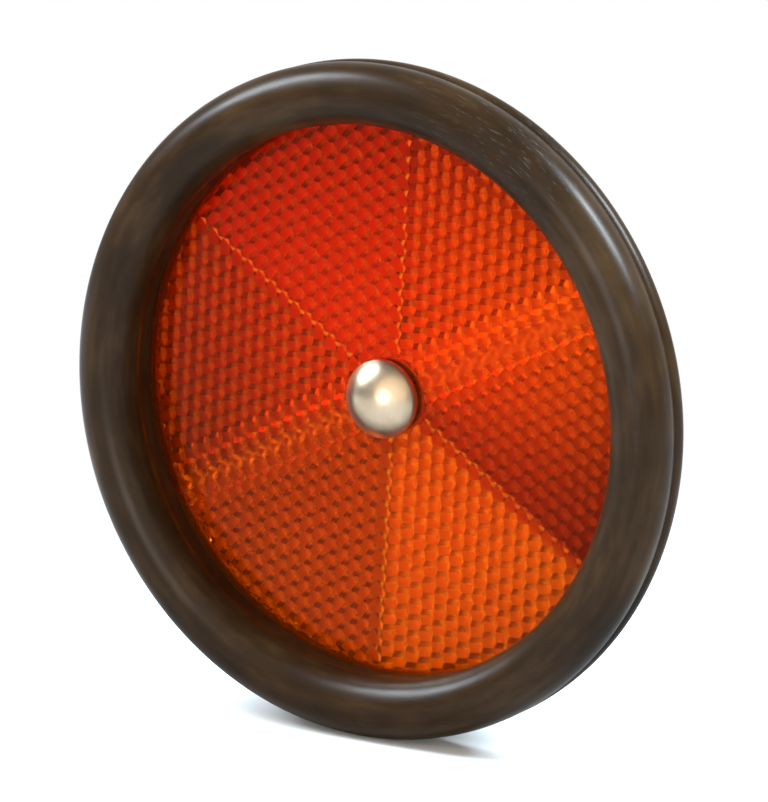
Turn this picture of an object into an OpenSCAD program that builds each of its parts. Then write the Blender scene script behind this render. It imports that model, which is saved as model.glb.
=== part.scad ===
// Round amber reflector in a rolled rubber surround, held by a domed bolt through its centre.
// Sizes are in millimetres. The reflector stands upright and faces -Y, with +Z up. The origin is
// on the axis, in the plane of the surround's rear face, which bears on whatever it is bolted to.
// Each piece is drawn lying on its back, with z as its height in front of that plane, and is
// then stood up by upright().

/* [Surround] */
// Depth of the rubber surround, from its rear face to the top of the front roll
surround_depth = 16.65; // [15.5:0.05:22]
// Thickness of the front roll
roll_d = 7.3; // [6:0.1:9]
// How far the roll bulges in over the inner wall
roll_bulge = 0.3; // [0.2:0.05:0.5]
// Thickness of the bead behind the roll
bead_d = 3; // [2.4:0.1:3.6]
// Distance of the bead's centre behind the roll's centre
bead_setback = 2.7; // [2.4:0.1:3]
// Width of the lip that holds the lens from the front
front_lip = 1.3; // [0.8:0.1:2]
// Width of the lip that holds the back plate from behind
rear_lip = 4.3; // [3:0.1:6]
// Rubber wall round the edge of the lens
surround_wall = 1.2; // [1:0.1:2]
// How far the rear edge of the surround draws in
rear_taper = 2.4; // [1.6:0.1:3]
// Height of that tapered edge
rear_taper_h = 4; // [2:0.1:4.5]

/* [Lens] */
// Diameter of the lens
lens_d = 69.6; // [60:0.1:80]
// Depth of the lens face behind the centre of the roll
lens_setback = 3.6; // [2.5:0.1:4.5]
// Thickness of the lens in front of its prisms
lens_wall = 2.2; // [1.8:0.1:3]
// Distance between the tips of neighbouring prisms
prism_pitch = 2; // [1.9:0.05:2.4]
// Flat left between the lens wall and the deepest corners of the prisms
prism_land = 0.1; // [0.05:0.01:0.3]
// Turn of the prism pattern, clockwise as seen from the front
prism_turn = 4; // [0:1:60]
// Radial width of the rim that is welded to the back plate
weld_rim = 1; // [0.6:0.1:2]
// Space between the weld rim and the prism field
field_margin = 0.4; // [0.2:0.1:1]
// Chamfer on the front edge of the lens
lens_chamfer = 0.3; // [0.1:0.05:0.6]

/* [Back plate] */
// Thickness of the back plate
plate_t = 1.5; // [1.4:0.1:2]
// Space between the prism tips and the back plate
tip_gap = 0.2; // [0.1:0.05:0.5]
// Diameter of the hub that spaces the back plate from the middle of the lens
hub_d = 9; // [8.5:0.1:12]
// Number of ribs on the rear of the back plate
rib_count = 6; // [3:1:12]
// Width of a rib, and of the ring that the ribs run out to
rib_w = 1.2; // [0.8:0.1:2]
// Height of the ribs
rib_h = 0.9; // [0.5:0.1:1.5]

/* [Bolt] */
// Diameter of the stud
stud_d = 5; // [4:0.1:6]
// Pitch diameter of its thread, where the nut and the stud meet
thread_pitch_d = 4.48; // [3.5:0.01:4.6]
// Length of the bolt under its head
bolt_l = 20; // [16:0.5:40]
// Diameter of the domed head
head_d = 9.5; // [9:0.1:12]
// Height of the straight edge of the head
head_edge = 0.8; // [0.4:0.1:1.5]
// Height of the dome above that edge
dome_h = 2.6; // [1.5:0.1:3.5]
// Width of the square neck under the head
neck_w = 5; // [4:0.1:5]
// Diameter over the neck's rounded corners
neck_corner_d = 6.6; // [6.2:0.1:6.8]
// Chamfer on the end of the stud
stud_chamfer = 0.5; // [0.2:0.1:0.8]

/* [Washer and nut] */
// Diameter of the flat washer
washer_d = 10; // [9:0.1:11]
// Thickness of the flat washer
washer_t = 1; // [0.5:0.1:1]
// Width of the nut across its flats
nut_w = 8; // [8:0.1:10]
// Height of the nut
nut_h = 2.7; // [2:0.1:2.8]

/* [Fits] */
// Space all round the lens in its rubber seat
seat_gap = 0.05; // [0.02:0.01:0.2]
// Space all round the stud in a hole that it passes through
stud_gap = 0.15; // [0.1:0.05:0.3]
// Space on each side of the square neck, and under it
neck_gap = 0.1; // [0.05:0.05:0.2]
// Space between the hub and the first prisms
hub_gap = 0.3; // [0.2:0.05:0.6]
// Floor of the hub under the square neck
hub_floor = 1; // [0.8:0.1:1.5]
// How far a cut is drawn past the face that it leaves through
overcut = 1; // [0.5:0.1:2]

/* [Hidden] */
$fn = 96;

// Heights in front of the rear face
roll_z = surround_depth - roll_d / 2;
lens_face_z = roll_z - lens_setback;
lens_back_z = lens_face_z - lens_wall;

// A prism is the corner of a cube that stands on its diagonal. Seen along that diagonal its
// outline is a hexagon, so the tips lie on a triangular lattice. Three of the six corners round
// a tip lie a third of the diagonal above it, and the three between them two thirds.
cube_edge = prism_pitch / sqrt(2);
near_corner_h = cube_edge / sqrt(3);
far_corner_h = 2 * near_corner_h;
prism_tip_z = lens_back_z - prism_land - far_corner_h;
corner_step = prism_pitch / sqrt(3);

// Back plate, washer and nut, one behind the other
plate_front_z = prism_tip_z - tip_gap;
plate_back_z = plate_front_z - plate_t;
washer_back_z = plate_back_z - washer_t;
nut_back_z = washer_back_z - nut_h;
stud_end_z = lens_face_z - bolt_l;
neck_end_z = plate_back_z + hub_floor + neck_gap;

// Radii
lens_r = lens_d / 2;
seat_r = lens_r + seat_gap;
mouth_r = lens_r - front_lip;
lip_r = lens_r - rear_lip;
wall_r = seat_r + surround_wall;
rear_r = wall_r - rear_taper;
roll_centre_r = mouth_r - roll_bulge + roll_d / 2;
bead_centre_r = roll_centre_r + roll_d / 2 - bead_d / 2;
bead_z = roll_z - bead_setback;
rim_r = lens_r - weld_rim;
field_r = rim_r - field_margin;
hub_r = hub_d / 2;
field_inner_r = hub_r + hub_gap;
neck_hole_r = neck_corner_d / 2 + 2 * neck_gap;
stud_r = stud_d / 2;
thread_r = thread_pitch_d / 2;
stud_hole_r = stud_r + stud_gap;
rib_ring_r = lip_r - rib_w;

// Stands a piece up: its z becomes the way the reflector faces, and its y becomes up.
module upright() {
    rotate([90, 0, 0]) children();
}

// The surround's section: a thick front roll, a thin bead close behind it, an inner wall down
// to the lens, and a rebate that holds the lens and the back plate by their edges.
module surround_section() {
    translate([roll_centre_r, roll_z]) circle(d = roll_d);
    translate([bead_centre_r, bead_z]) circle(d = bead_d);
    polygon([
        [lip_r, 0],
        [rear_r, 0],
        [wall_r, rear_taper_h],
        [wall_r, bead_z - bead_d],
        [bead_centre_r, bead_z - bead_d / 4],
        [bead_centre_r, bead_z],
        [roll_centre_r, roll_z],
        [mouth_r, roll_z - roll_d / 8],
        [mouth_r, lens_face_z],
        [seat_r, lens_face_z],
        [seat_r, plate_back_z],
        [lip_r, plate_back_z]
    ]);
}

module rubber_ring() {
    color([0.23, 0.18, 0.15]) upright()
        rotate_extrude($fn = 180) surround_section();
}

// Steps of the corner lattice from the middle of the field to a corner of its hexagon
field_steps = ceil((field_r / cos(30)) / corner_step);
field_row = 2 * field_steps + 1;
lattice_ways = [[1, 0], [0, 1], [-1, 1], [-1, 0], [0, -1], [1, -1]];

// Place of lattice point p, its place in the list of points, and whether the field holds it
function lattice_xy(p) = corner_step * [p.x + p.y / 2, p.y * sin(60)];
function lattice_index(p) = (p.x + field_steps) * field_row + p.y + field_steps;
function in_field(p) = max(abs(p.x), abs(p.y), abs(p.x + p.y)) <= field_steps;

// 0 at a prism's tip, 1 and 2 by turns at the six corners round it
function lattice_kind(p) = (p.x - p.y + 3 * field_steps) % 3;

// The six sectors of the field meet along rows of tips
function sector_of(xy) = floor(((atan2(xy.y, xy.x) + 330) % 360) / 60);

// Neighbouring sectors have their prisms turned half round: far corners take near corners' places
function corner_h(kind, sector) = kind == 1 + sector % 2 ? far_corner_h : near_corner_h;
function lattice_h(p) = lattice_kind(p) == 0 ? 0 : corner_h(lattice_kind(p), sector_of(lattice_xy(p)));
function lattice_point(p) = concat(lattice_xy(p), prism_tip_z + lattice_h(p));

// A hexagonal block whose rear is the field of prisms and whose front is buried in the lens wall
module prism_block() {
    steps = [-field_steps : field_steps];
    bury_z = lens_back_z + lens_wall / 2;
    top = field_row * field_row;
    corners = [for (way = lattice_ways) field_steps * way];

    points = concat(
        [for (u = steps, v = steps) lattice_point([u, v])],
        [for (corner = corners) concat(lattice_xy(corner), bury_z)]
    );
    fans = [
        for (u = steps, v = steps, half = [0, 1])
            let (a = [u + half, v], b = [u + 1, v + half], c = [u, v + 1])
            if (in_field(a) && in_field(b) && in_field(c))
                [lattice_index(a), lattice_index(b), lattice_index(c)]
    ];
    sides = [
        for (k = [0 : 5])
            let (along = lattice_ways[(k + 2) % 6])
            concat(
                [top + k, top + (k + 1) % 6],
                [for (t = [field_steps : -1 : 0]) lattice_index(corners[k] + t * along)]
            )
    ];
    polyhedron(points, concat(fans, sides, [[for (k = [5 : -1 : 0]) top + k]]));
}

// The prisms between the hub and the weld rim, in one piece with the lens wall
module prism_field() {
    depth = lens_back_z + lens_wall / 4 - plate_front_z;
    intersection() {
        rotate([0, 0, -prism_turn]) prism_block();
        translate([0, 0, plate_front_z]) difference() {
            cylinder(r = field_r, h = depth);
            translate([0, 0, -overcut]) cylinder(r = field_inner_r, h = depth + 2 * overcut);
        }
    }
}

// Smooth in front, with the prisms and the weld rim behind and a round hole for the bolt's neck
module lens() {
    color([0.9, 0.3, 0.05]) upright() {
        rotate_extrude($fn = 180) polygon([
            [neck_hole_r, lens_back_z],
            [rim_r, lens_back_z],
            [rim_r, plate_front_z],
            [lens_r, plate_front_z],
            [lens_r, lens_face_z - lens_chamfer],
            [lens_r - lens_chamfer, lens_face_z],
            [neck_hole_r, lens_face_z]
        ]);
        prism_field();
    }
}

// A disc with a hub that carries the bolt's pull past the prisms, a square pocket for the neck
// and low ribs behind.
module back_plate() {
    color([0.82, 0.8, 0.74]) upright() difference() {
        union() {
            translate([0, 0, plate_back_z]) cylinder(r = lens_r, h = plate_t);
            translate([0, 0, plate_back_z]) cylinder(r = hub_r, h = lens_back_z - plate_back_z);
            plate_ribs();
        }
        translate([0, 0, plate_back_z - overcut])
            cylinder(r = stud_hole_r, h = hub_floor + 2 * overcut);
        translate([0, 0, plate_back_z + hub_floor])
            linear_extrude(lens_back_z - plate_back_z) neck_outline(neck_gap);
    }
}

// Ribs from just clear of the washer out to a ring that stands just inside the rubber lip
module plate_ribs() {
    rib_start = washer_d / 2 + rib_w;
    bury = plate_t / 2;
    translate([0, 0, plate_back_z - rib_h]) {
        difference() {
            cylinder(r = rib_ring_r, h = rib_h + bury);
            translate([0, 0, -overcut])
                cylinder(r = rib_ring_r - rib_w, h = rib_h + bury + 2 * overcut);
        }
        for (k = [0 : rib_count - 1])
            rotate([0, 0, k * 360 / rib_count])
                translate([rib_start, -rib_w / 2, 0])
                    cube([rib_ring_r - rib_w / 2 - rib_start, rib_w, rib_h + bury]);
    }
}

// The square neck's outline, with its corners rounded off, or the pocket for it with a gap
module neck_outline(gap = 0) {
    intersection() {
        square(neck_w + 2 * gap, center = true);
        circle(d = neck_corner_d + 2 * gap);
    }
}

// Domed head, square neck and stud. Where the nut holds it the stud is drawn at the thread's
// pitch diameter, and elsewhere at the thread's full diameter. The neck and a core of the stud
// run up into the head, so that the three stay one piece.
module bolt() {
    head_r = head_d / 2;
    dome_r = (head_r * head_r + dome_h * dome_h) / (2 * dome_h);
    dome_top_z = lens_face_z + head_edge + dome_h;
    root_z = lens_face_z + head_edge / 2;
    color([0.85, 0.84, 0.8]) upright() {
        rotate_extrude() intersection() {
            translate([0, dome_top_z - dome_r]) circle(r = dome_r);
            translate([0, lens_face_z]) square([head_r, head_edge + dome_h]);
        }
        translate([0, 0, neck_end_z])
            linear_extrude(root_z - neck_end_z) neck_outline();
        rotate_extrude() polygon([
            [0, stud_end_z],
            [stud_r - stud_chamfer, stud_end_z],
            [stud_r, stud_end_z + stud_chamfer],
            [stud_r, nut_back_z],
            [thread_r, nut_back_z],
            [thread_r, washer_back_z],
            [stud_r, washer_back_z],
            [stud_r, neck_end_z],
            [thread_r, neck_end_z],
            [thread_r, root_z],
            [0, root_z]
        ]);
    }
}

module washer() {
    color([0.7, 0.7, 0.68]) upright() translate([0, 0, washer_back_z]) difference() {
        cylinder(r = washer_d / 2, h = washer_t);
        translate([0, 0, -overcut]) cylinder(r = stud_hole_r, h = washer_t + 2 * overcut);
    }
}

// A thin hexagon nut, turned off at its corners and countersunk at both faces
module nut() {
    corner_r = nut_w / 2 / cos(30);
    face_r = nut_w / 2 * 0.95;
    turned_h = (corner_r - face_r) * tan(30);
    sink_h = (stud_r - thread_r) / 2;
    color([0.72, 0.71, 0.68]) upright() translate([0, 0, nut_back_z]) intersection() {
        linear_extrude(nut_h) circle(r = corner_r, $fn = 6);
        rotate_extrude() polygon([
            [thread_r, sink_h],
            [stud_r, 0],
            [face_r, 0],
            [corner_r, turned_h],
            [corner_r, nut_h - turned_h],
            [face_r, nut_h],
            [stud_r, nut_h],
            [thread_r, nut_h - sink_h]
        ]);
    }
}

rubber_ring();
lens();
back_plate();
bolt();
washer();
nut();
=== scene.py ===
# %% [markdown]
# # A round amber reflector
#
# The reflector is a disc of amber acrylic in a rolled rubber surround, with a domed bolt
# through its middle. The measured model gives every piece its size and place. Here each piece
# gets its finish, and the ones that need a rounder or finer shape are modelled again.

from math import atan2, cos, degrees, hypot, pi, radians, sin, sqrt

import bpy
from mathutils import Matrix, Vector


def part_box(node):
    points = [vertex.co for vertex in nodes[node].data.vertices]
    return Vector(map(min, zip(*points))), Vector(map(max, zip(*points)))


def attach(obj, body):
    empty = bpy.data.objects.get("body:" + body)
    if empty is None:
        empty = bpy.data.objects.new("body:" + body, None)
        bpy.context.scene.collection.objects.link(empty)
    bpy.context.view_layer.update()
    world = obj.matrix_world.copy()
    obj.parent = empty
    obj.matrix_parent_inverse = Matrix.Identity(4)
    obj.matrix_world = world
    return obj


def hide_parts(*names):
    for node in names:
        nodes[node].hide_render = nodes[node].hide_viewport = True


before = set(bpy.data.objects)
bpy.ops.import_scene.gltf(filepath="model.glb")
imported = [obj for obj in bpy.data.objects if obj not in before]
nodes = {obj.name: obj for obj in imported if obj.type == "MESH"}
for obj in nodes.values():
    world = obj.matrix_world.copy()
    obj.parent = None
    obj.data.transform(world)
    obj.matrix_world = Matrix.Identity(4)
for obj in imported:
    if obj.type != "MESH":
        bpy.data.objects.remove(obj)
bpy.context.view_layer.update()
MM = 0.001
print("pieces in the measured model:", sorted(nodes))

# %% [markdown]
# ## Where the camera stands
#
# The photograph looks at the reflector from its right and a little above, through a long lens.
# Fitting ellipses to the two edges of the surround gave the angles and the scale. The camera
# aims at the middle of the front roll, moved aside by the few pixels by which the photograph
# has the reflector off its centre.

# %% The camera
PHOTO_W, PHOTO_H = 768, 802
PX_PER_MM = 8.5
LOOK_AZIMUTH = radians(31.6)
LOOK_ELEVATION = radians(12.4)
CAMERA_DISTANCE = 0.6
SENSOR = 36.0
AXIS_PX = (367.6, 403.7)

surround_low, surround_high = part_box("rubber_ring")
OUTER_R = surround_high.x
ROLL_R = 3.65 * MM
ROLL_Y = surround_low.y + ROLL_R

back = Vector((
    sin(LOOK_AZIMUTH) * cos(LOOK_ELEVATION),
    -cos(LOOK_AZIMUTH) * cos(LOOK_ELEVATION),
    sin(LOOK_ELEVATION),
))
right = Vector((cos(LOOK_AZIMUTH), sin(LOOK_AZIMUTH), 0))
up = back.cross(right)
aim = (
    Vector((0, ROLL_Y, 0))
    + right * (PHOTO_W / 2 - AXIS_PX[0]) / PX_PER_MM * MM
    + up * (AXIS_PX[1] - PHOTO_H / 2) / PX_PER_MM * MM
)

camera_data = bpy.data.cameras.new("camera")
camera_data.sensor_width = SENSOR
camera_data.lens = SENSOR * CAMERA_DISTANCE / (PHOTO_H / PX_PER_MM * MM)
camera_data.clip_start = 0.01
camera = bpy.data.objects.new("camera", camera_data)
camera.location = aim + back * CAMERA_DISTANCE
camera.rotation_euler = back.to_track_quat("Z", "Y").to_euler()
bpy.context.scene.collection.objects.link(camera)
bpy.context.scene.camera = camera
print(f"camera lens {camera_data.lens:.0f} mm at {CAMERA_DISTANCE} m")

# %% [markdown]
# ## Small helpers for modelling
#
# Loading leaves the measured pieces selected, so every new piece starts by deselecting all.
# Turned pieces all start the same way: one vertex is extruded from point to point to draw half
# of the section, and Spin carries that line once round the reflector's axis.

# %% Drawing a section and spinning it
MERGE = 1e-6
AXIS = (0, 1, 0)


def start_clean():
    if bpy.context.mode != "OBJECT":
        bpy.ops.object.mode_set(mode="OBJECT")
    bpy.ops.object.select_all(action="DESELECT")


def draw_section(name, points):
    """Draws a line of vertices through (radius, y) points, in the plane z = 0."""
    start_clean()
    bpy.ops.mesh.primitive_plane_add(size=MM)
    piece = bpy.context.object
    piece.name = piece.data.name = name
    bpy.ops.object.mode_set(mode="EDIT")
    bpy.ops.mesh.merge(type="CENTER")
    bpy.ops.transform.translate(value=(*points[0], 0))
    for (r0, y0), (r1, y1) in zip(points, points[1:]):
        bpy.ops.mesh.extrude_region_move(
            TRANSFORM_OT_translate={"value": (r1 - r0, y1 - y0, 0)}
        )
    return piece


def close_up():
    """In edit mode: joins what meets and turns every face outwards."""
    bpy.ops.mesh.select_all(action="SELECT")
    bpy.ops.mesh.remove_doubles(threshold=MERGE)
    bpy.ops.mesh.normals_make_consistent(inside=False)
    bpy.ops.object.mode_set(mode="OBJECT")


def turn(name, points, steps):
    """A turned piece: the section through the points, spun once round the axis."""
    piece = draw_section(name, points)
    bpy.ops.mesh.select_all(action="SELECT")
    bpy.ops.mesh.spin(steps=steps, angle=2 * pi, center=(0, 0, 0), axis=AXIS)
    close_up()
    return piece


def arc(centre, radius, start, end, count):
    """Points on an arc of the section. Angles in degrees, 0 outwards and 90 to the front."""
    turns = [radians(start + (end - start) * k / count) for k in range(count + 1)]
    return [(centre[0] + radius * cos(t), centre[1] - radius * sin(t)) for t in turns]


def smooth(piece, angle=35):
    start_clean()
    piece.select_set(True)
    bpy.context.view_layer.objects.active = piece
    bpy.ops.object.shade_smooth_by_angle(angle=radians(angle))
    piece.select_set(False)


def stands_for(piece, node):
    """The piece moves with the one body and takes the measured node's place, which is hidden."""
    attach(piece, "root")
    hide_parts(node)
    print(f"{piece.name}: {len(piece.data.polygons)} faces")


# %% [markdown]
# ## The rubber surround
#
# The real surround is moulded in one piece: a thick roll in front, a thin bead close behind it
# with a crease between them, and a wall that grips the lens. The long soft highlights on the
# roll show every flat, so the section is drawn again with fine arcs and spun in small steps.
# The sizes are those of the measured model.

# %% Section of the surround
LENS_FACE_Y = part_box("lens")[0].y
PLATE_BACK_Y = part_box("washer")[0].y
ROLL_CENTRE = (OUTER_R - ROLL_R, ROLL_Y)
BEAD_R = 1.5 * MM
BEAD_SETBACK = 2.7 * MM
BEAD_CENTRE = (OUTER_R - BEAD_R, ROLL_Y + BEAD_SETBACK)
WALL_SETBACK = 2.6 * MM
LENS_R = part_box("lens")[1].x
SEAT_R = LENS_R + 0.05 * MM
MOUTH_R = LENS_R - 1.3 * MM
LIP_R = LENS_R - 4.3 * MM
WALL_R = SEAT_R + 1.2 * MM
REAR_R = WALL_R - 2.4 * MM
TAPER_Y = -4 * MM
TAPER_TILT = -31
EDGE = 0.4 * MM
TAPER_EDGE = 4 * EDGE


def crease_angles():
    """Where the roll's circle meets the bead's, as an angle on each."""
    dr = BEAD_CENTRE[0] - ROLL_CENTRE[0]
    dy = ROLL_CENTRE[1] - BEAD_CENTRE[1]
    apart = hypot(dr, dy)
    along = (ROLL_R ** 2 - BEAD_R ** 2 + apart ** 2) / (2 * apart)
    aside = sqrt(ROLL_R ** 2 - along ** 2)
    meet_r = (dr * along - dy * aside) / apart
    meet_h = (dy * along + dr * aside) / apart
    on_roll = atan2(meet_h, meet_r)
    on_bead = atan2(meet_h - dy, meet_r - dr)
    return degrees(on_roll), degrees(on_bead)


roll_end, bead_start = crease_angles()
mouth_in = ROLL_CENTRE[0] - MOUTH_R
roll_start = 180 + degrees(atan2(sqrt(ROLL_R ** 2 - mouth_in ** 2), mouth_in))
print(f"roll from {roll_start:.0f} to {roll_end:.0f} degrees, bead from {bead_start:.0f}")

# %% Spin the surround
section = (
    [(MOUTH_R, LENS_FACE_Y)]
    + arc(ROLL_CENTRE, ROLL_R, roll_start, roll_end, 64)
    + arc(BEAD_CENTRE, BEAD_R, bead_start, -100, 28)
    + arc((WALL_R + EDGE, BEAD_CENTRE[1] + WALL_SETBACK), EDGE, 120, 180, 5)
    + arc((WALL_R - TAPER_EDGE, TAPER_Y), TAPER_EDGE, 0, TAPER_TILT, 6)
    + arc((REAR_R - EDGE, -EDGE), EDGE, TAPER_TILT, -90, 6)
    + arc((LIP_R + EDGE, -EDGE), EDGE, -90, -180, 6)
    + [(LIP_R, PLATE_BACK_Y), (SEAT_R, PLATE_BACK_Y), (SEAT_R, LENS_FACE_Y)]
    + [(MOUTH_R, LENS_FACE_Y)]
)
SPIN_STEPS = 288
surround = turn("rubber_surround", section, SPIN_STEPS)
smooth(surround)
stands_for(surround, "rubber_ring")

# %% [markdown]
# ## Small helpers for materials
#
# Every finish here is worked out from the place on the object, so it needs no image. A finish
# that runs round the ring reads the direction from the axis slowly and the distance from it
# quickly, which draws it out into streaks with no seam.

# %% Building node trees
def new_material(name):
    material = bpy.data.materials.new(name)
    material.use_nodes = True
    tree = material.node_tree
    return material, tree, tree.nodes["Principled BSDF"]


def add(tree, kind, settings=None, **sockets):
    """Adds a node. A socket, named or numbered as i0, gets a value or another node's output."""
    node = tree.nodes.new(kind)
    for key, value in (settings or {}).items():
        setattr(node, key, value)
    for key, value in sockets.items():
        numbered = key[1:].isdigit()
        socket = node.inputs[int(key[1:]) if numbered else key.replace("_", " ")]
        if isinstance(value, bpy.types.NodeSocket):
            tree.links.new(value, socket)
        else:
            socket.default_value = value
    return node


def calc(tree, operation, a, b=0.0, c=0.0):
    """A sum on single numbers, by the name the Math node gives it."""
    return add(tree, "ShaderNodeMath", {"operation": operation}, i0=a, i1=b, i2=c).outputs[0]


def spot(tree):
    """Object coordinates, whole and taken apart."""
    place = add(tree, "ShaderNodeTexCoord").outputs["Object"]
    parts = add(tree, "ShaderNodeSeparateXYZ", i0=place)
    return place, parts.outputs[0], parts.outputs[1], parts.outputs[2]


def noise(tree, vector, scale, detail=3.0, rough=0.5, w=None):
    """Noise in three dimensions, or in four when it is given a w."""
    if w is None:
        made = add(tree, "ShaderNodeTexNoise", Vector=vector)
    else:
        made = add(tree, "ShaderNodeTexNoise", {"noise_dimensions": "4D"}, Vector=vector, W=w)
    made.inputs["Scale"].default_value = scale
    made.inputs["Detail"].default_value = detail
    made.inputs["Roughness"].default_value = rough
    return made.outputs[0]


def ramp(tree, factor, stops):
    """A colour ramp through (place, colour) stops."""
    made = add(tree, "ShaderNodeValToRGB", Fac=factor)
    elements = made.color_ramp.elements
    while len(elements) < len(stops):
        elements.new(0.5)
    for element, (place, colour) in zip(elements, stops):
        element.position = place
        element.color = (*colour, 1) if len(colour) == 3 else colour
    return made.outputs[0]


def spread(tree, value, low, high, to_low=0.0, to_high=1.0):
    """Maps low..high to to_low..to_high, and stops at both ends."""
    return add(tree, "ShaderNodeMapRange", Value=value, From_Min=low, From_Max=high,
               To_Min=to_low, To_Max=to_high).outputs[0]


def mix(tree, factor, a, b, blend="MIX"):
    """Goes from colour a to colour b."""
    made = add(tree, "ShaderNodeMix", {"data_type": "RGBA", "blend_type": blend}, i0=factor)
    for socket, value in ((made.inputs[6], a), (made.inputs[7], b)):
        if isinstance(value, bpy.types.NodeSocket):
            tree.links.new(value, socket)
        else:
            socket.default_value = (*value, 1)
    return made.outputs[2]


def bump(tree, height, distance, strength):
    made = add(tree, "ShaderNodeBump", Height=height, Distance=distance, Strength=strength)
    return made.outputs[0]


def feed(tree, shader, **sockets):
    for key, value in sockets.items():
        socket = shader.inputs[key.replace("_", " ")]
        if isinstance(value, bpy.types.NodeSocket):
            tree.links.new(value, socket)
        else:
            socket.default_value = value


def from_the_axis(tree, x, z):
    """Distance from the reflector's axis."""
    squares = calc(tree, "ADD", calc(tree, "MULTIPLY", x, x), calc(tree, "MULTIPLY", z, z))
    return calc(tree, "SQRT", squares)


def round_the_axis(tree, along, across):
    """A vector and a w that change slowly round the axis and fast across the section."""
    _, x, y, z = spot(tree)
    radius = from_the_axis(tree, x, z)
    vector = add(
        tree, "ShaderNodeCombineXYZ",
        i0=calc(tree, "MULTIPLY", calc(tree, "DIVIDE", x, radius), along),
        i1=calc(tree, "MULTIPLY", calc(tree, "DIVIDE", z, radius), along),
        i2=calc(tree, "MULTIPLY", radius, across),
    ).outputs[0]
    return vector, calc(tree, "MULTIPLY", y, across)


# %% [markdown]
# ## The rubber's finish
#
# The rubber is a warm, dark brown with a satin skin. It is never even: handling leaves
# polished and worn patches, and the mould leaves faint lines that run round the ring. One
# tone made of both drives the colour and the roughness, so that worn places also shine more.
# Fine noise roughens the skin so that highlights break up softly.

# %% Rubber
RUBBER_DEEP = (0.012, 0.006, 0.002)
RUBBER_MID = (0.025, 0.012, 0.004)
RUBBER_WORN = (0.052, 0.029, 0.012)
RUBBER_DUST = (0.13, 0.12, 0.11)
PATCH_SCALE = 55.0
SKIN_SCALE = 2600.0
MOULD_LINES = (6.0, 900.0)
SCRATCH_LINES = (26.0, 5200.0)
SKIN_DEPTH = 0.04 * MM


def make_rubber():
    material, tree, shader = new_material("brown_rubber")
    place, x, _, z = spot(tree)
    vector, w = round_the_axis(tree, *MOULD_LINES)
    streaks = noise(tree, vector, 1.0, 4.0, 0.6, w)
    patches = noise(tree, place, PATCH_SCALE, 4.0, 0.55)
    grain = noise(tree, place, SKIN_SCALE, 2.0, 0.6)
    tone = calc(tree, "ADD", calc(tree, "MULTIPLY", streaks, 0.36),
                calc(tree, "MULTIPLY", patches, 0.64))
    colour = ramp(tree, tone, [(0.36, RUBBER_DEEP), (0.5, RUBBER_MID), (0.66, RUBBER_WORN)])

    # Fine scuffs run round the top right of the roll, where it has been rubbed
    rubbed = calc(tree, "MULTIPLY", spread(tree, x, 4 * MM, 20 * MM),
                  spread(tree, z, 22 * MM, 32 * MM))
    scratch_vector, scratch_w = round_the_axis(tree, *SCRATCH_LINES)
    scratches = noise(tree, scratch_vector, 1.0, 2.0, 0.5, scratch_w)
    scuffs = calc(tree, "MULTIPLY", rubbed, spread(tree, scratches, 0.60, 0.76, 0.0, 0.5))
    colour = mix(tree, scuffs, colour, RUBBER_DUST)

    skin = calc(tree, "ADD", calc(tree, "MULTIPLY", grain, 0.6),
                calc(tree, "MULTIPLY", streaks, 0.8))
    feed(tree, shader,
         Base_Color=colour,
         Roughness=spread(tree, tone, 0.3, 0.7, 0.40, 0.26),
         Normal=bump(tree, skin, SKIN_DEPTH, 0.35))
    shader.inputs["Specular IOR Level"].default_value = 0.14
    return material


rubber = make_rubber()
surround.data.materials.clear()
surround.data.materials.append(rubber)
print("rubber nodes:", len(rubber.node_tree.nodes))

# %% [markdown]
# ## The amber lens
#
# The lens is kept as measured, prisms and all, because its look comes from them: light goes in
# through the smooth face, turns round in a corner of three faces, and comes back. A clear
# material with acrylic's refractive index does that by itself. The dye could be a coloured
# volume, but a thin part shows little of it, so a tint on the face and one on the prisms stand
# for it. The tint on the prisms is also painted light and shade: each sector, whose prisms are
# each turned another way, is painted brighter or darker, and redder or more orange, for how much
# light its prisms send back.

# %% Dye and painted light and shade of the six sectors
ACRYLIC_IOR = 1.49
FACE_TINT = (1.0, 0.175, 0.002)
# Painted shade: the join tint darkens the face in a band along one sector boundary, to dim the
# glints there.
JOIN_SHADE_TINT = (0.93, 0.120, 0.002)
JOIN_ANGLE = radians(26)
JOIN_W = 2.0 * MM
GLINT_TINT = (1.0, 0.09, 0.02, 1)
PRISM_BACK_Y = LENS_FACE_Y + 0.3 * MM
INNER_R = 8 * MM
FIELD_R = 32 * MM

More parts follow.
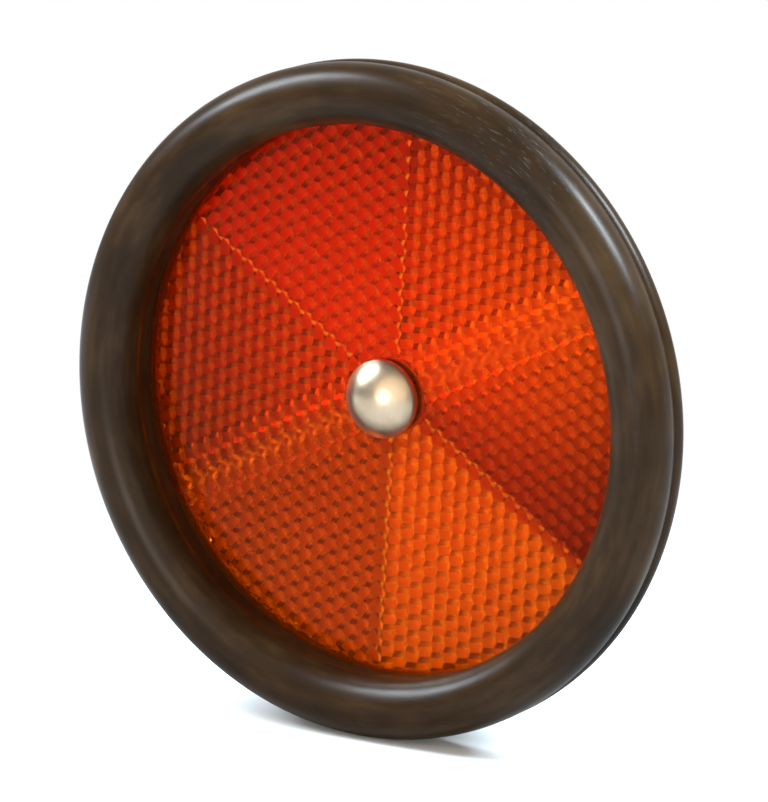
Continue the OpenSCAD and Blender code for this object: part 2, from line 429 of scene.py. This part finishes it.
# Angles run anticlockwise from the right, as seen from the front. Each sector is 60 degrees.
# Tints on the prisms: the dye and painted light and shade together, each sector brighter or
# darker.
CENTRE_DYE_AND_SHADE = [
    (-180, (0.84, 0.09, 0.0015)), (-154, (0.66, 0.10, 0.0015)),
    (-154, (0.50, 0.12, 0.0015)), (-94, (0.54, 0.14, 0.0015)),
    (-94, (0.98, 0.35, 0.0015)), (-34, (0.96, 0.26, 0.0015)),
    (-34, (0.66, 0.06, 0.0015)), (26, (0.92, 0.11, 0.0015)),
    (26, (1.00, 0.20, 0.0015)), (86, (1.00, 0.12, 0.0015)),
    (86, (1.00, 0.09, 0.0015)), (146, (1.00, 0.11, 0.0015)),
    (146, (0.92, 0.09, 0.0015)), (180, (0.84, 0.09, 0.0015)),
]
RIM_DYE_AND_SHADE = [
    (-180, (0.34, 0.02, 0.0015)), (-154, (0.26, 0.04, 0.0015)),
    (-154, (0.48, 0.14, 0.0015)), (-94, (0.56, 0.20, 0.0015)),
    (-94, (1.00, 0.51, 0.0015)), (-34, (1.00, 0.57, 0.0015)),
    (-34, (0.24, 0.01, 0.0015)), (26, (1.00, 0.41, 0.0015)),
    (26, (1.00, 0.48, 0.0015)), (86, (0.62, 0.04, 0.0015)),
    (86, (0.74, 0.02, 0.0015)), (146, (0.78, 0.02, 0.0015)),
    (146, (0.44, 0.02, 0.0015)), (180, (0.34, 0.02, 0.0015)),
]
STEP_DEGREES = 0.6
CLOUD_SCALE = 90.0
CLOUD_TINT = (0.8, 0.4, 0.2)
HAZE_SCALE = 900.0
WAVE_SCALE = 140.0
WAVE_DEPTH = 0.02 * MM

# The photograph shows each sector lighter or darker than the next, most of all at the rim. On
# the real lens this comes from how its prisms are turned. Here it is painted on the face.
FACE_SHADE = [
    (-180, (0.86, 0.62, 1)), (-154, (0.74, 0.74, 1)), (-154, (0.98, 1, 1)),
    (-94, (0.96, 1, 1)), (-94, (0.86, 0.92, 1)), (-34, (0.88, 0.92, 1)),
    (-34, (0.50, 0.18, 1)), (-12, (0.62, 0.40, 1)), (8, (0.90, 0.84, 1)),
    (26, (0.94, 0.96, 1)), (26, (1, 0.84, 1)), (86, (1, 0.60, 1)),
    (86, (1, 0.50, 1)), (146, (1, 0.50, 1)), (146, (0.96, 0.62, 1)),
    (180, (0.86, 0.62, 1)),
]

# The face is a little softer in the sectors that show the least of their prisms.
FACE_BLUR = [
    (-180, 0), (-94, 0), (-94, 0.15), (-34, 0.15), (-34, 0.04), (26, 0.04),
    (26, 0), (86, 0), (86, 0.08), (146, 0.08), (146, 0), (180, 0),
]
print("sector boundaries in degrees:", sorted({a for a, _ in RIM_DYE_AND_SHADE if abs(a) < 180}))


def sector_stops(table):
    """Turns (degrees, colour) pairs into ramp stops, a small step apart at a shared angle."""
    stops = []
    for index, (degrees_round, colour) in enumerate(table):
        place = (degrees_round + 180) / 360
        if index and table[index - 1][0] == degrees_round:
            place += STEP_DEGREES / 360
        stops.append((place, colour if isinstance(colour, tuple) else (colour,) * 3))
    return stops


# %% Lens
def make_amber():
    material, tree, shader = new_material("amber_acrylic")
    place, x, y, z = spot(tree)
    radius = from_the_axis(tree, x, z)
    turn_share = spread(tree, calc(tree, "ARCTAN2", z, x), -pi, pi)
    outwards = spread(tree, radius, INNER_R, FIELD_R)
    # Painted light and shade: the sector tints on the prisms, from centre to rim.
    sectors = mix(tree, outwards,
                  ramp(tree, turn_share, sector_stops(CENTRE_DYE_AND_SHADE)),
                  ramp(tree, turn_share, sector_stops(RIM_DYE_AND_SHADE)))
    behind = spread(tree, y, LENS_FACE_Y + 0.1 * MM, PRISM_BACK_Y)
    cloud = noise(tree, place, CLOUD_SCALE, 3.0)
    # Painted shade along that boundary, to dim its glints.
    off_join = calc(tree, "ABSOLUTE", calc(tree, "SUBTRACT",
                                           calc(tree, "MULTIPLY", z, cos(JOIN_ANGLE)),
                                           calc(tree, "MULTIPLY", x, sin(JOIN_ANGLE))))
    clear_of_join = spread(tree, off_join, 0.4 * JOIN_W, JOIN_W)
    face = mix(tree, clear_of_join, JOIN_SHADE_TINT, FACE_TINT)
    face = mix(tree, spread(tree, radius, INNER_R, FIELD_R, 0.6, 1.0), face,
               ramp(tree, turn_share, sector_stops(FACE_SHADE)), "MULTIPLY")
    colour = mix(tree, behind, face, sectors)
    colour = mix(tree, spread(tree, cloud, 0.35, 0.7, 0.0, 0.2), colour, CLOUD_TINT, "MULTIPLY")
    haze = noise(tree, place, HAZE_SCALE, 3.0)
    blur = calc(tree, "ADD", spread(tree, haze, 0.35, 0.7, 0.03, 0.10),
                calc(tree, "ADD", spread(tree, clear_of_join, 0.0, 1.0, 0.24, 0.0),
                     ramp(tree, turn_share, sector_stops(FACE_BLUR))))
    feed(tree, shader,
         Base_Color=colour,
         Roughness=blur,
         Normal=bump(tree, noise(tree, place, WAVE_SCALE, 2.0), WAVE_DEPTH, 0.25))
    shader.inputs["Transmission Weight"].default_value = 0.95
    shader.inputs["IOR"].default_value = ACRYLIC_IOR
    shader.inputs["Specular Tint"].default_value = GLINT_TINT
    return material


def dress(node, material):
    mesh = nodes[node].data
    mesh.materials.clear()
    mesh.materials.append(material)


amber = make_amber()
dress("lens", amber)
print("lens faces:", len(nodes["lens"].data.polygons))

# %% [markdown]
# ## The bolt
#
# Only its domed head shows from the front, polished and plated. It is turned again here with
# a finer dome and a small radius on its edge. The thread on the stud is a true screw: one
# tooth is drawn and the Screw modifier carries it along the axis, a pitch to each turn.

# %% Head, neck and shank
HEAD_R = 4.75 * MM
HEAD_EDGE = 0.8 * MM
RIM_ROUND = 0.2 * MM
FOOT_ROUND = 0.12 * MM
DOME_H = 2.6 * MM
DOME_R = (HEAD_R ** 2 + DOME_H ** 2) / (2 * DOME_H)
DOME_TOP_Y = LENS_FACE_Y - HEAD_EDGE - DOME_H
STUD_R = 2.5 * MM
ROOT_R = 2.07 * MM
PITCH = 0.8 * MM
NECK_W = 5 * MM
NECK_END_Y = PLATE_BACK_Y - 1.1 * MM
SHANK_END_Y = PLATE_BACK_Y + 0.3 * MM
STUD_END_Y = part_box("bolt")[1].y
dome_edge = degrees(atan2(DOME_R - DOME_H, HEAD_R))

head_section = (
    arc((0, DOME_TOP_Y + DOME_R), DOME_R, 90, dome_edge + 1.5, 40)
    + arc((HEAD_R - RIM_ROUND, LENS_FACE_Y - HEAD_EDGE + 0.8 * RIM_ROUND), RIM_ROUND,
          dome_edge, 0, 6)
    + arc((HEAD_R - FOOT_ROUND, LENS_FACE_Y - FOOT_ROUND), FOOT_ROUND, 0, -90, 4)
    + [(ROOT_R, LENS_FACE_Y), (ROOT_R, NECK_END_Y), (STUD_R, NECK_END_Y)]
    + [(STUD_R, PLATE_BACK_Y), (ROOT_R, SHANK_END_Y), (0, SHANK_END_Y)]
)
bolt = turn("domed_bolt", head_section, 96)

start_clean()
bpy.ops.mesh.primitive_cube_add(size=1, location=(0, (LENS_FACE_Y + NECK_END_Y) / 2, 0))
neck = bpy.context.object
neck.name = "square_neck"
neck.scale = (NECK_W, NECK_END_Y - LENS_FACE_Y, NECK_W)
bpy.ops.object.transform_apply(location=True, rotation=True, scale=True)
bpy.ops.object.mode_set(mode="EDIT")
bpy.ops.mesh.select_all(action="SELECT")
bpy.ops.mesh.bevel(offset=0.3 * MM, segments=3)
bpy.ops.object.mode_set(mode="OBJECT")
print("neck from", round(LENS_FACE_Y / MM, 2), "to", round(NECK_END_Y / MM, 2))

# %% Thread
THREAD_START_Y = PLATE_BACK_Y + 0.1 * MM
CREST_R = STUD_R - 0.03 * MM
turns = int((STUD_END_Y - THREAD_START_Y) / PITCH) - 1
tooth = [(ROOT_R, 0), (CREST_R, 0.36), (STUD_R, 0.42), (STUD_R, 0.50), (CREST_R, 0.56),
         (ROOT_R, 0.92), (ROOT_R, 1)]
thread = draw_section("stud_thread", [(r, THREAD_START_Y + y * PITCH) for r, y in tooth])
print("thread turns:", turns)
bpy.ops.object.mode_set(mode="OBJECT")
screw = thread.modifiers.new("thread", "SCREW")
screw.axis = "Y"
screw.screw_offset = PITCH
screw.iterations = turns
screw.steps = screw.render_steps = 40
screw.use_merge_vertices = True
screw.merge_threshold = MERGE
bpy.context.view_layer.objects.active = thread
bpy.ops.object.modifier_apply(modifier="thread")


def flatten_end(piece, is_end, y, shrink):
    """Draws an open end of the thread out to a flat face at y, drawn in by a chamfer."""
    start_clean()
    bpy.context.view_layer.objects.active = piece
    piece.select_set(True)
    bpy.ops.object.mode_set(mode="EDIT")
    bpy.ops.mesh.select_mode(type="EDGE")
    bpy.ops.mesh.select_all(action="DESELECT")
    bpy.ops.mesh.select_non_manifold(extend=False, use_wire=False, use_boundary=True,
                                     use_multi_face=False, use_non_contiguous=False,
                                     use_verts=False)
    bpy.ops.object.mode_set(mode="OBJECT")
    for edge in piece.data.edges:
        middle = sum(piece.data.vertices[v].co.y for v in edge.vertices) / 2
        edge.select = edge.select and is_end(middle)
    for vertex in piece.data.vertices:
        vertex.select = False
    for edge in piece.data.edges:
        if edge.select:
            for v in edge.vertices:
                piece.data.vertices[v].select = True
    bpy.ops.object.mode_set(mode="EDIT")
    bpy.ops.mesh.extrude_region_move()
    bpy.ops.transform.resize(value=(shrink, 0, shrink), center_override=(0, y, 0))
    bpy.ops.mesh.extrude_region_move()
    bpy.ops.transform.resize(value=(0, 1, 0), center_override=(0, y, 0))
    close_up()


middle_y = (THREAD_START_Y + STUD_END_Y) / 2
flatten_end(thread, lambda y: y > middle_y, STUD_END_Y, 0.86)
flatten_end(thread, lambda y: y < middle_y, THREAD_START_Y - 0.05 * MM, 0.98)

start_clean()
for part in (thread, neck, bolt):
    part.select_set(True)
bpy.context.view_layer.objects.active = bolt
bpy.ops.object.join()
smooth(bolt, 30)
stands_for(bolt, "bolt")

# %% [markdown]
# ## The metal finishes
#
# The bolt is nickel over steel, polished to a satin on its head and plain on the stud. The head's
# warm colour is partly nickel's own and partly a painted reflection of the amber lens round it.
# Bright metal needs little of its own: it takes its look from what stands round it. Faint
# blotches and turned lines in its roughness keep it from looking drawn. The washer and the nut
# are zinc plated, duller, with the rings that turning and stamping leave.

# %% Plating
BARE_PLATE = (0.60, 0.58, 0.55)
RING_ALONG = 3.0
BLOTCH_SCALE = 260.0
RING_DEPTH = 0.02 * MM


def make_plating(name, pale, dark, rough_low, rough_high, rings):
    """The given colours in front of the lens face, plain on what is behind it. On the nickel head
    the warm colour is partly a painted reflection of the amber lens.
    """
    material, tree, shader = new_material(name)
    place, _, y, _ = spot(tree)
    vector, w = round_the_axis(tree, RING_ALONG, rings)
    turned = noise(tree, vector, 1.0, 2.0, 0.5, w)
    blotch = noise(tree, place, BLOTCH_SCALE, 3.0, 0.55)
    colour = mix(tree, spread(tree, blotch, 0.35, 0.7), pale, dark)
    behind = spread(tree, y, LENS_FACE_Y, LENS_FACE_Y + MM, 0.0, 0.75)
    colour = mix(tree, behind, colour, BARE_PLATE)
    feed(tree, shader,
         Base_Color=colour,
         Roughness=spread(tree, calc(tree, "ADD", turned, blotch), 0.7, 1.3,
                          rough_low, rough_high),
         Normal=bump(tree, turned, RING_DEPTH, 0.25))
    shader.inputs["Metallic"].default_value = 1.0
    return material


# The head's warm colour is partly nickel's own and partly a painted reflection of the amber lens.
nickel = make_plating("nickel_plate", (0.66, 0.51, 0.36), (0.53, 0.40, 0.27), 0.27, 0.36, 1500.0)
zinc = make_plating("zinc_plate", (0.62, 0.62, 0.60), (0.42, 0.42, 0.41), 0.24, 0.44, 5000.0)
bolt.data.materials.clear()
bolt.data.materials.append(nickel)
dress("washer", zinc)
dress("nut", zinc)
print("metal nodes:", len(nickel.node_tree.nodes), "each")

# %% [markdown]
# ## The back plate
#
# A plain pale moulding that nobody sees once the reflector is fixed. It is light in colour so
# that it throws back what light the prisms let through. Fine grain and soft flow marks are all
# the finish that such a part has.

# %% Moulded plastic
BACK_DARK = (0.84, 0.81, 0.75)
BACK_PALE = (0.90, 0.88, 0.83)
FLOW_SCALE = 70.0
GRAIN_SCALE = 3200.0
GRAIN_DEPTH = 0.05 * MM


def make_back_plastic():
    material, tree, shader = new_material("moulded_back")
    place = spot(tree)[0]
    flow = noise(tree, place, FLOW_SCALE, 4.0, 0.6)
    grain = noise(tree, place, GRAIN_SCALE, 2.0, 0.6)
    colour = ramp(tree, flow, [(0.35, BACK_DARK), (0.7, BACK_PALE)])
    feed(tree, shader,
         Base_Color=colour,
         Roughness=spread(tree, flow, 0.3, 0.7, 0.42, 0.58),
         Normal=bump(tree, grain, GRAIN_DEPTH, 0.5))
    return material


back_plastic = make_back_plastic()
dress("back_plate", back_plastic)
print("back plate nodes:", len(back_plastic.node_tree.nodes))

# %% [markdown]
# ## Floor, backdrop and light
#
# The reflector stands on a plain white sheet. The world is white to the camera, and dim enough
# elsewhere to leave the lighting to the lamps. Dark rubber shows whatever stands in front of it
# as a grey veil, so the room is dim to reflections on the camera's side, and the floor is
# darker to bounced light than to the camera.

# %% World
WORLD_FILL = 0.28
ROOM_IN_GLOSS = 0.06
ROOM_TURNS_PALE = (0.3, 0.8)


def make_world():
    world = bpy.data.worlds.new("studio")
    world.use_nodes = True
    tree = world.node_tree
    background = tree.nodes["Background"]
    ray = add(tree, "ShaderNodeLightPath")
    way = add(tree, "ShaderNodeTexCoord").outputs["Generated"]
    way_y = add(tree, "ShaderNodeSeparateXYZ", i0=way).outputs[1]
    room = spread(tree, way_y, *ROOM_TURNS_PALE, ROOM_IN_GLOSS, 1.0)
    in_gloss = calc(tree, "MULTIPLY", ray.outputs["Is Glossy Ray"], room)
    in_clear = calc(tree, "MAXIMUM", ray.outputs["Is Camera Ray"],
                    ray.outputs["Is Transmission Ray"])
    seen = calc(tree, "MAXIMUM", in_clear, in_gloss)
    tree.links.new(calc(tree, "MAXIMUM", seen, WORLD_FILL), background.inputs["Strength"])
    background.inputs["Color"].default_value = (1, 1, 1, 1)
    return world


bpy.context.scene.world = make_world()
print("world fill", WORLD_FILL)

# %% Floor
FLOOR_Z = surround_low.z
SHADOW_R = 0.05
WHITE_R = 0.13
FLOOR_SEEN = (0.9, 0.9, 0.9)
FLOOR_ROUND_IT = (0.42, 0.42, 0.42)

start_clean()
bpy.ops.mesh.primitive_plane_add(size=12, location=(0, 0, FLOOR_Z))
floor = bpy.context.object
floor.name = "floor"
bpy.ops.object.transform_apply(location=True)


def make_floor():
    """Pale, with the object's shadow, and plain white to the camera further out."""
    material, tree, shader = new_material("pale_floor")
    place = spot(tree)[0]
    away = add(tree, "ShaderNodeVectorMath", {"operation": "LENGTH"}, i0=place)
    far = spread(tree, away.outputs["Value"], SHADOW_R, WHITE_R)
    camera_ray = add(tree, "ShaderNodeLightPath").outputs["Is Camera Ray"]
    tree.links.new(mix(tree, camera_ray, FLOOR_ROUND_IT, FLOOR_SEEN), shader.inputs["Base Color"])
    shader.inputs["Roughness"].default_value = 0.9
    white = add(tree, "ShaderNodeEmission", Strength=1.0).outputs[0]
    mixed = add(tree, "ShaderNodeMixShader", i0=calc(tree, "MULTIPLY", far, camera_ray),
                i1=shader.outputs[0], i2=white).outputs[0]
    tree.links.new(mixed, tree.nodes["Material Output"].inputs["Surface"])
    return material


floor.data.materials.append(make_floor())
print(f"floor at {FLOOR_Z / MM:.1f} mm")

# %% [markdown]
# ## Lamps
#
# One broad soft lamp near the camera lights the lens, which turns light back the way it came. A
# small one beside it puts the spot on the bolt's head. A narrow lamp on either side, like a
# window, gives the roll its long cool highlights, and only their direction decides where on the
# roll these fall.

# %% Lamps
def soft_box(name, azimuth, elevation, distance, size, watts, colour, shape="RECTANGLE"):
    """A soft box that faces the reflector. Azimuth and elevation count as the camera's do."""
    a, e = radians(azimuth), radians(elevation)
    away = Vector((sin(a) * cos(e), -cos(a) * cos(e), sin(e)))
    data = bpy.data.lights.new(name, "AREA")
    data.shape = shape
    data.size = size[0]
    if shape == "RECTANGLE":
        data.size_y = size[1]
    data.energy = watts
    data.color = colour
    lamp = bpy.data.objects.new(name, data)
    lamp.location = away * distance
    lamp.rotation_euler = away.to_track_quat("Z", "Y").to_euler()
    bpy.context.scene.collection.objects.link(lamp)
    print(name, "at", [round(c, 2) for c in lamp.location])


soft_box("key", 27, 20, 1.1, (1.7, 1.7), 11.0, (1.0, 0.91, 0.78), "DISK")
soft_box("spot", 5, 6, 0.9, (0.34, 0.34), 2.6, (1.0, 0.97, 0.92), "DISK")
soft_box("left_window", -70, 40, 0.9, (0.22, 0.5), 15.0, (0.78, 0.90, 1.0))
soft_box("right_window", 109, 46, 0.9, (0.16, 0.38), 20.0, (0.74, 0.89, 1.0))

# %% [markdown]
# ## Finish
#
# The view transform is set to Standard.

# %% Finish
scene = bpy.context.scene
scene.view_settings.view_transform = "Standard"
